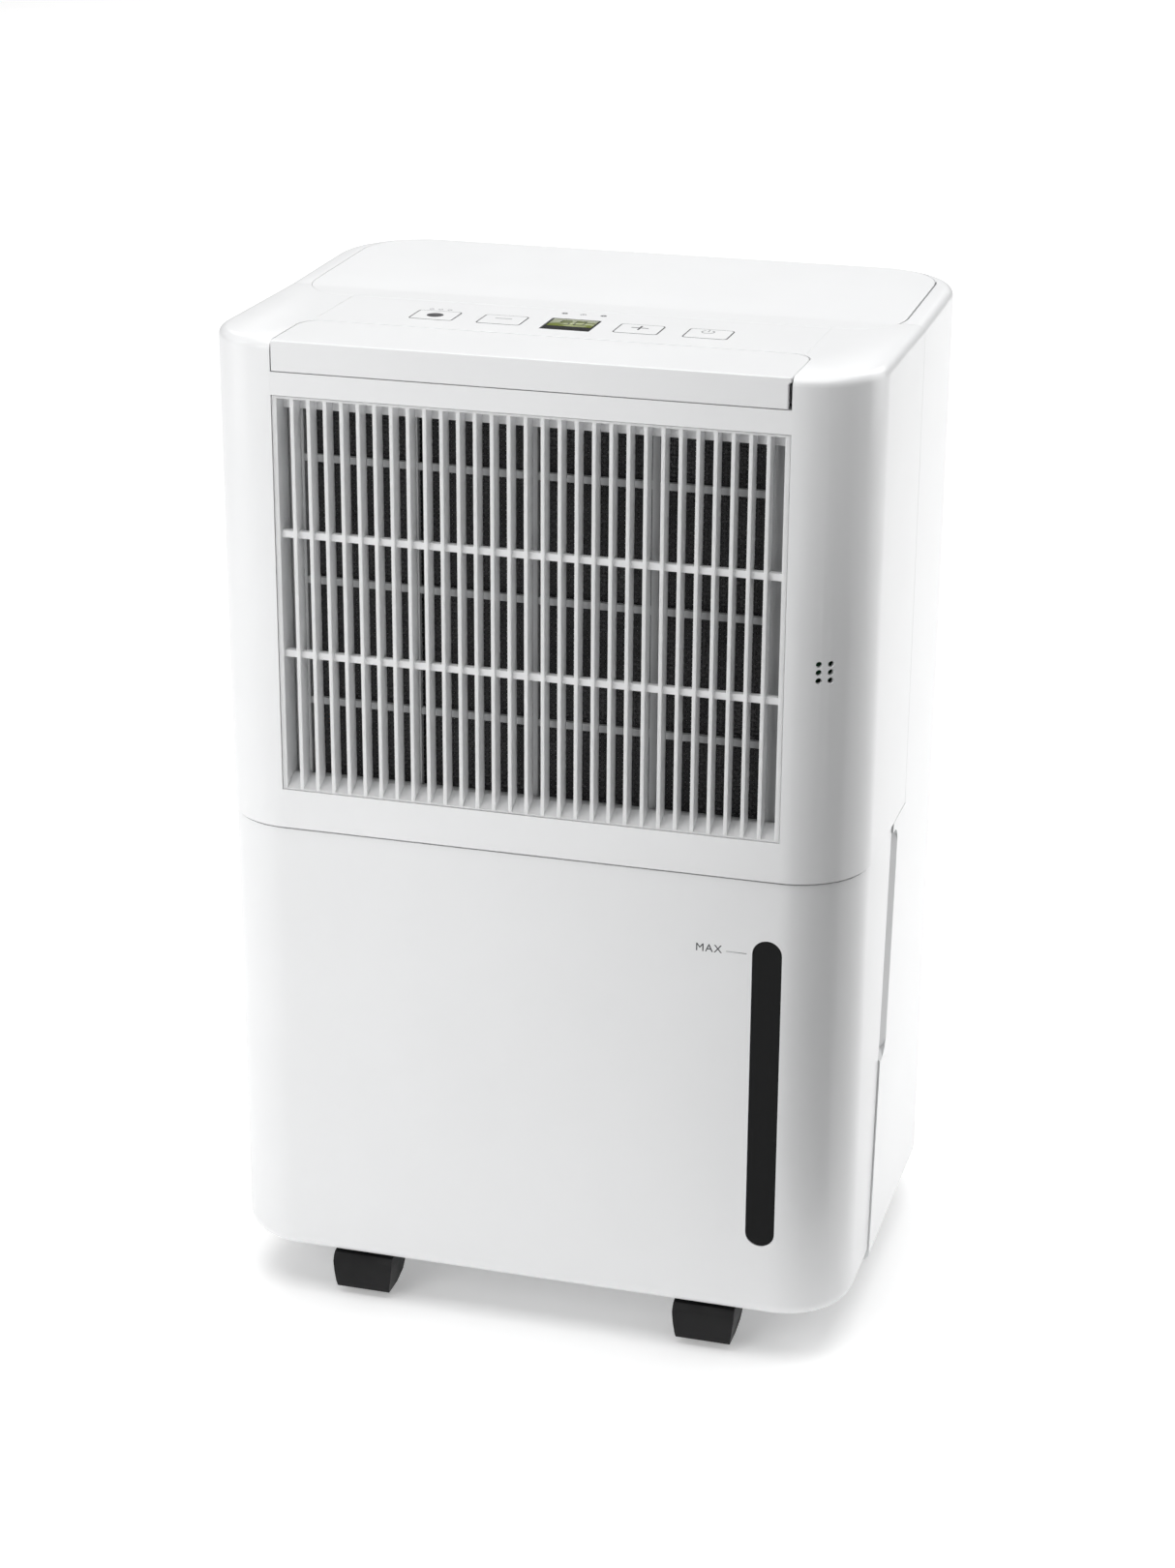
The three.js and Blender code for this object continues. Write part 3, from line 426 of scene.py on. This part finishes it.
def filter_frame():
    body = cut(box(-131, 131, 15, 18.4, 273.5, 511.8), box(-123, 123, 0, 30, 280, 480.5),
               *both(122, 140, 0, 30, 499, 520))
    for z in (321.5, 387.5, 453):
        add(body, box(-130, 130, 15.4, 18, z - 1.9, z + 1.9))
    for x in (-63.5, 0, 63.5):
        add(body, box(x - 1.9, x + 1.9, 15, 18.4, 274.5, 490))
    return body


def filter_net():
    """Woven net of flat threads that pass over and under each other."""
    verts, faces = [], []
    pitch, half, thick, swing = 2.4, 1.0, 0.12, 0.2
    columns, rows = int(250 / pitch), int(205 / pitch)

    def thread(path, across):
        first = len(verts)
        for x, y, z in path:
            for u, v in ((-half, -thick), (half, -thick), (half, thick), (-half, thick)):
                verts.append((x + u, y + v, z) if across else (x, y + v, z + u))
        for k in range(len(path) - 1):
            at = first + 4 * k
            faces.extend((at + c, at + (c + 1) % 4, at + 4 + (c + 1) % 4, at + 4 + c)
                         for c in range(4))
        last = len(verts) - 4
        faces.extend([tuple(range(first, first + 4)), tuple(range(last, last + 4))])

    for i in range(columns + 1):
        x = -125.2 + i * pitch
        thread([(x, 19 + (swing if (i + j) % 2 else -swing), 278 + j * pitch)
                for j in range(rows + 1)], True)
    for j in range(rows + 1):
        z = 278 + j * pitch
        thread([(-125.2 + i * pitch, 19 - (swing if (i + j) % 2 else -swing), z)
                for i in range(columns + 1)], False)
    return build(verts, faces)


def filter_grip():
    plate = prism(round_rect(CAP["x0"], 0, CAP["x1"], CAP["y"], 0, CAP["radius"]),
                  FRONT_TOP - 2.9, FRONT_TOP)
    return add(plate, box(CAP["x0"], CAP["lip_end"], 0, 3, CAP["lip"], FRONT_TOP - 1),
               box(-110, 110, 14, 19.4, 512.1, FRONT_TOP - 2))


place(intake_grille(), "grille_fins", "housing", GRILLE, ["intake_grille"], 0.3)
place(filter_frame(), "filter_bars", "filter", FRAME_GREY, ["filter_frame"], 0.5)
place(filter_net(), "filter_net", "filter", NET, ["filter_mesh"], 0)
place(filter_grip(), "filter_cap", "filter", SHELL, ["filter_grip"], 0.7)


# ---- controls -----------------------------------------------------------------------------
BUTTONS = {"mode": -73, "minus": -36.5, "plus": 36.5, "power": 73}
BUTTON_Y, LENS_X, LENS_Y = 79, 13, (66.5, 92.3)


def button_loop(at, grow):
    u, v = 11.25 + grow, 9.5 + grow
    return round_rect(at - u, BUTTON_Y - v, at + u, BUTTON_Y + v, 1.5 + grow, steps=5)


def control_panel():
    body = add(box(-129.95, 129.95, PANEL_FRONT, PANEL_BACK, FRONT_TOP - 3.2, FRONT_TOP),
               box(-132.7, 132.7, 55, 110.7, FRONT_TOP - 5.4, FRONT_TOP - 3.9),
               box(-127.7, 127.7, 55, 110.7, FRONT_TOP - 5, FRONT_TOP - 2))
    for at in BUTTONS.values():
        cut(body, prism(button_loop(at, 0.55), 500, FAR))
    for y in (61, 101):
        add(body, *both(86, 90, y, y + 4, 503.4, FRONT_TOP - 5))
    return cut(body, box(-LENS_X - GAP, LENS_X + GAP, LENS_Y[0] - GAP, LENS_Y[1] + GAP,
                         FRONT_TOP - 2.5, FAR),
               box(-11.5, 11.5, 68, 90.8, 500, FAR))


def print_piece(name, body, solid, mat=INK):
    """Thin raised print on a surface."""
    place(solid, name, body, mat, edge=0)


def ring(u, v, outer, inner, low, high, gap_shade=0.0):
    """Ring in the plane of the top, with an opening of gap quarter turns at the back."""
    start, end = 1 + gap_shade / 2, 5 - gap_shade / 2
    loop = arc(u, v, outer, start, end, 32) + arc(u, v, inner, end, start, 32)
    return prism(loop, low, high)


place(control_panel(), "control_strip", "housing", SHELL, ["control_panel"], 0.5)
CAP_TOP = FRONT_TOP + 0.2
ON_CAP = CAP_TOP - 0.1, CAP_TOP + 0.05  # printed layers, sunk in and standing proud
ON_STRIP = FRONT_TOP - 0.1, FRONT_TOP + 0.05
for label, at in BUTTONS.items():
    # Dark ring just under the top, round each button: painted shade that stands in for the shadow
    # in the gap.
    painted_gap_shade = cut(prism(button_loop(at, 0.5), FRONT_TOP - 1.5, FRONT_TOP + 0.08),
               prism(button_loop(at, 0.05), 500, FAR))
    place(painted_gap_shade, f"gap_{label}", "housing", GAP_SHADE, edge=0)
    cap = prism(button_loop(at, 0), FRONT_TOP - 3.4, CAP_TOP)
    cap = add(cap, box(at - 3, at + 3, BUTTON_Y - 3, BUTTON_Y + 3, 508, FRONT_TOP - 3))
    place(cap, f"cap_{label}", f"{label}_button", SHELL, [f"button_{label}"], 0.5)
print_piece("print_mode", "mode_button", cylinder(-73, 78.6, 4.4, *ON_CAP, "z"))
print_piece("print_minus", "minus_button", box(-41, -32, 80.6, 81.6, *ON_CAP),
            PALE_INK)
plus = add(box(32, 41, 80.6, 81.6, *ON_CAP),
           box(36, 37, 76.6, 85.6, *ON_CAP))
print_piece("print_plus", "plus_button", plus)
power = add(ring(72, 82.5, 3.6, 2.8, *ON_CAP, 0.7),
            box(71.6, 72.4, 82.7, 87, *ON_CAP))
print_piece("print_power", "power_button", power, PALE_INK)
for at in (-10, 0, 11):
    drop = add(ring(at, 103, 1.7, 1.2, *ON_STRIP),
               box(at - 0.25, at + 0.25, 101.8, 104.2, *ON_STRIP))
    print_piece(f"print_state_{at + 10}", "housing", drop, PALE_INK)
for at in (-79.5, -74.5, -69.5):
    mark = ring(at, 92.6, 1.3, 0.8, *ON_STRIP)
    print_piece(f"print_mode_{int(80 + at)}", "housing", mark, PALE_INK)


def display():
    """Clear lens: black front strip and a yellow-green window with dark digits."""
    z = FRONT_TOP - 0.2
    place(box(-LENS_X, LENS_X, *LENS_Y, FRONT_TOP - 2.2, z), "display_frame", "housing",
          SMOKE, ["display_lens"], 0.3)
    place(box(-11.9, 11.9, 75.4, 91.3, z - 0.1, z + 0.04), "display_window", "housing", LCD,
          edge=0)
    segments = {"top": (0, 4.4, 2.6, 0.4), "middle": (0, 0, 2.2, 0.4),
                "bottom": (0, -4.4, 2.6, 0.4), "upper_left": (-2.5, 2.2, 0.4, 1.8),
                "upper_right": (2.5, 2.2, 0.4, 1.8), "lower_left": (-2.5, -2.2, 0.4, 1.8),
                "lower_right": (2.5, -2.2, 0.4, 1.8)}
    lit = {-4: ["top", "middle", "lower_right", "bottom", "upper_left"],
           4: ["top", "upper_left", "upper_right", "lower_left", "lower_right", "bottom"]}
    for at, names in lit.items():
        for name in names:
            u, v, a, b = segments[name]
            print_piece(f"digit_{'units' if at > 0 else 'tens'}_{name}", "housing",
                        box(at + u - a, at + u + a, 83.4 + v - b, 83.4 + v + b,
                            z - 0.05, z + 0.08), LCD_DARK)


display()


# ---- bucket -------------------------------------------------------------------------------
def window_loop(inset):
    r = (137.3 - 121.6) / 2 - inset
    return round_rect(121.6 + inset, 42.9 + inset, 137.3 - inset, 220.2 - inset, r - 0.01)


def bucket():
    tub_x, tub_rear, rim, floor, rear = 151, 113.5, 243, 9.5, 72
    inner = WIDTH / 2 - 1 - WALL
    body = keep(rounded(1, 0, 300, 9), ahead_of_edge(0, 252.6))
    add(body, prism(round_rect(-tub_x, 20, tub_x, tub_rear, 0, 10), floor - 3, rim))
    cut(body, keep(plain(1 + WALL, floor, FAR), box(-FAR, FAR, 0, rear, 0, FAR)),
        prism(round_rect(-tub_x + WALL, 20, tub_x - WALL, tub_rear - WALL, 0, 7.2), floor, FAR),
        plain(11, -1, floor - 3),
        *both(tub_x, inner, rear + 3, FAR, floor, FAR),
        box(-inner, inner, rear - 1, FAR, rim, FAR))
    for x in (-108, -82):
        add(body, box(x - 2, x + 2, 96, tub_rear - 2, 222, 234))
    return cut(body, cylinder(102, 228, 2.4, -115, -75, "x"),
               prism(window_loop(0), -1, 8, "y"))


place(bucket(), "bucket_tank", "bucket", TANK, ["bucket"], 0.5)
place(prism(window_loop(0.15), 1.5, 3.7, "y"), "level_window", "bucket", SMOKE,
      ["bucket_window"], 0.4)


def level_mark():
    """The word MAX and its pointer line beside the window."""
    curve = bpy.data.curves.new("max", "FONT")
    curve.body = "MAX"
    curve.size = 6.2
    curve.space_character = 1.14
    curve.extrude = 0.06
    text = bpy.data.objects.new("max", curve)
    bpy.context.scene.collection.objects.link(text)
    graph = bpy.context.evaluated_depsgraph_get()
    mesh = bpy.data.meshes.new_from_object(text.evaluated_get(graph))
    bpy.data.objects.remove(text)
    mesh.transform(Matrix.Translation((91.3, 1, 210.7)) @ Matrix.Rotation(math.pi / 2, 4, "X"))
    word = bpy.data.objects.new("word", mesh)
    bpy.context.scene.collection.objects.link(word)
    print_piece("mark_max", "bucket", word)
    print_piece("mark_line", "bucket", box(107.8, 118.6, 0.94, 1.05, 211.85, 212.25), PALE_INK)


level_mark()


# ---- castors ------------------------------------------------------------------------------
TRAIL, AXLE_Z, WHEEL = 6, -15.5, 12.5


def castor_yoke(x, y):
    """Hood over a wheel pair; x and y are the swivel axis."""
    axle_y = y - TRAIL
    shape = [(axle_y - 13.4, -23.5), (axle_y - 14.5, -20), (axle_y - 14.8, -14),
             (axle_y - 14.5, -7.5), (axle_y - 13.6, -4.6), (axle_y - 12, -2.8),
             (axle_y - 10.5, -2.4), (y + 8, -2.4), (y + 8, -6), (axle_y + 9, -20), (axle_y, -23.5)]
    taper = [(x - 17, -2), (x - 17.2, -8), (x - 16.6, -14), (x - 15.2, -24), (x + 15.2, -24),
             (x + 16.6, -14), (x + 17.2, -8), (x + 17, -2)]
    body = keep(prism(shape, x - 18, x + 18, "x"), prism(taper, -50, FAR, "y"))
    for low in (6, -14):
        cut(body, cylinder(axle_y, AXLE_Z, WHEEL + 0.6, x + low, x + low + 8, "x", 12))
    cut(body, cylinder(axle_y, AXLE_Z, 2.6, x - 13, x + 13, "x"))
    return add(body, cylinder(x, y, 4, -4, 4.2, "z"))


def castor_wheels(x, y):
    axle = (y - TRAIL, AXLE_Z)
    tyre = [(0, 6.5), (8.5, 6.5), (8.9, 6.9), (11.6, 6.9), (12.3, 7.5), (WHEEL, 8.4), (WHEEL, 9.2),
            (12.2, 9.35), (12.2, 10.65), (WHEEL, 10.8), (WHEEL, 11.6), (12.3, 12.5), (11.6, 13.1),
            (9, 13.1), (8.6, 12.6), (3.5, 12.6), (3.1, 13.4), (0, 13.5)]
    right = turned([(r, x + w) for r, w in tyre], axle, "x", 12)
    left = turned([(r, x - w) for r, w in reversed(tyre)], axle, "x", 12)
    return add(right, cylinder(*axle, 2.2, x - 7, x + 7, "x"), left)


for end, y in (("front", 26.5), ("rear", 225)):
    for hand, x in (("left", -98), ("right", 98)):
        place(castor_yoke(x, y), f"hood_{end}_{hand}", f"yoke_{end}_{hand}", CASTOR_BLACK,
              [f"castor_yoke_{end}_{hand}"], 0.5)
        place(castor_wheels(x, y), f"rollers_{end}_{hand}", f"wheels_{end}_{hand}", TREAD,
              [f"castor_wheels_{end}_{hand}"], 0)


# ---- outlet and the rest of the frame -----------------------------------------------------
def outlet_grille():
    x, z0, z1 = OUTLET_X - GAP, OUTLET_FOOT + GAP, OUTLET_TOP - GAP
    front, face = DEPTH - 5, DEPTH - 0.4
    body = cut(prism(round_rect(-x, z0, x, z1, 5.7), front, face, "y"),
               prism(round_rect(-x + 4, z0 + 4, x - 4, z1 - 4, 3), 200, FAR, "y"))
    for i in range(10):
        z = z0 + 11 + i * 12.2
        louvre = [(front, z + 3.2), (front, z + 1.6), (face, z - 3.2), (face, z - 1.6)]
        add(body, prism(louvre, -x + 2, x - 2, "x"))
    return add(body, box(-2, 2, front, face - 0.6, z0 + 1, z1 - 1))


place(outlet_grille(), "outlet_louvres", "housing", SHELL, ["outlet_grille"], 0.35)

KEPT = {
    "bucket_lid": TANK, "bucket_float": FOAM, "bucket_sensor": SENSOR_BLACK,
    "control_board": BOARD_GREEN, "base_pan": INNER_GREY, "bulkhead": INNER_GREY,
    "drain_pan": INNER_GREY, "evaporator": ALUMINIUM, "condenser": ALUMINIUM,
    "compressor": BLACK_PAINT, "compressor_foot_1": RUBBER, "compressor_foot_2": RUBBER,
    "compressor_foot_3": RUBBER, "accumulator": COPPER, "suction_pipe": COPPER,
    "discharge_pipe": COPPER, "capillary_tube": COPPER, "fan_shroud": INNER_GREY,
    "fan_impeller": INNER_GREY, "fan_motor": STEEL, "electronics_box": INNER_GREY,
    "power_board": BOARD_GREEN, "run_capacitor": STEEL, "humidity_sensor": BOARD_GREEN,
    "drain_plug": RUBBER, "cord_gland": RUBBER, "housing_screw_1": STEEL,
    "housing_screw_2": STEEL, "housing_screw_3": STEEL, "housing_screw_4": STEEL,
}
for node, mat in KEPT.items():
    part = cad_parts[node]
    if "custom_normal" in part.data.attributes:
        part.data.attributes.remove(part.data.attributes["custom_normal"])
    part.data.materials.clear()
    part.data.materials.append(mat)
    for face in part.data.polygons:
        face.use_smooth = True
        face.material_index = 0
    weld = part.modifiers.new("weld", "WELD")
    weld.merge_threshold = 1e-5
    split = part.modifiers.new("split", "EDGE_SPLIT")
    split.split_angle = math.radians(35)


# ---- stage --------------------------------------------------------------------------------
def stage_mesh(name, corners, mat):
    """One flat four-sided sheet that is not part of the object."""
    mesh = bpy.data.meshes.new(name)
    mesh.from_pydata(corners, [], [(0, 1, 2, 3)])
    item = bpy.data.objects.new(name, mesh)
    bpy.context.scene.collection.objects.link(item)
    mesh.materials.append(mat)
    return item


PAPER = material("paper", (0.93, 0.93, 0.93), 0.9, spread=0.004, bump=0.0)
FLAG = material("flag", (0.02, 0.02, 0.02), 0.9, spread=0.0, bump=0.0)
glow = PAPER.node_tree.nodes["Principled BSDF"]
glow.inputs["Emission Color"].default_value = (1, 1, 1, 1)
glow.inputs["Emission Strength"].default_value = 0.28
stage_mesh("floor", [(-9, -9, 0), (9, -9, 0), (9, 9, 0), (-9, 9, 0)], PAPER)


def lamp(name, azimuth, elevation, distance, size, power, aim=(0, 0, 0.27)):
    """Soft rectangular light; azimuth 0 is in front, 90 on the right."""
    data = bpy.data.lights.new(name, "AREA")
    data.shape = "RECTANGLE"
    data.size, data.size_y = size
    data.energy = power
    item = bpy.data.objects.new(name, data)
    bpy.context.scene.collection.objects.link(item)
    a, e = math.radians(azimuth), math.radians(elevation)
    back = Vector((math.sin(a) * math.cos(e), -math.cos(a) * math.cos(e), math.sin(e)))
    item.location = Vector(aim) + back * distance
    item.rotation_mode = "QUATERNION"
    item.rotation_quaternion = back.to_track_quat("Z", "Y")


lamp("key", -25, 20, 2.4, (1.3, 1.6), 18)
lamp("side", 120, 16, 2.2, (1.2, 1.6), 13)
lamp("left", -74, 15, 2.2, (1.0, 1.6), 4.5)
lamp("top", 0, 84, 2.2, (2.4, 2.2), 46)
lamp("background", 0, 90, 3.0, (6, 4), 170, (0, 4.2, 0))

world = bpy.data.worlds.new("studio")
bpy.context.scene.world = world
world.use_nodes = True
world.node_tree.nodes["Background"].inputs["Color"].default_value = (1, 1, 1, 1)
world.node_tree.nodes["Background"].inputs["Strength"].default_value = 0.12


def hidden_flag(name, x0, x1, z0, z1, at):
    """Upright black sheet that only reflections and soft light see: darkens the corner band."""
    item = stage_mesh(name, [(x0, 0, z0), (x1, 0, z0), (x1, 0, z1), (x0, 0, z1)], FLAG)
    item.matrix_world = (Matrix.Translation((*at, 0))
                         @ Matrix.Rotation(math.radians(52), 4, "Z"))
    item.visible_camera = False
    item.visible_shadow = False


hidden_flag("flag", -0.4, 0.25, 0.01, 1.1, (0.52, -0.42))
hidden_flag("low_flag", -0.16, 0.08, 0.012, 0.4, (0.24, -0.195))

# ---- camera -------------------------------------------------------------------------------
view = bpy.data.cameras.new("camera")
view.lens = 73.49
view.sensor_width = 36
view.sensor_fit = "AUTO"
view.clip_start, view.clip_end = 0.05, 50
camera = bpy.data.objects.new("camera", view)
bpy.context.scene.collection.objects.link(camera)
yaw, pitch, roll = (math.radians(a) for a in (15.95, 20.87, 0.32))
ahead = Vector((-math.sin(yaw) * math.cos(pitch), math.cos(yaw) * math.cos(pitch),
                -math.sin(pitch)))
level = Vector((math.cos(yaw), math.sin(yaw), 0))
up = level.cross(ahead)
right = level * math.cos(roll) + up * math.sin(roll)
up = right.cross(ahead)
camera.matrix_world = Matrix((
    (right.x, up.x, -ahead.x, 0.45453), (right.y, up.y, -ahead.y, -1.60358),
    (right.z, up.z, -ahead.z, 0.90937), (0, 0, 0, 1)))
bpy.context.scene.camera = camera
bpy.context.scene.view_settings.view_transform = "Standard"
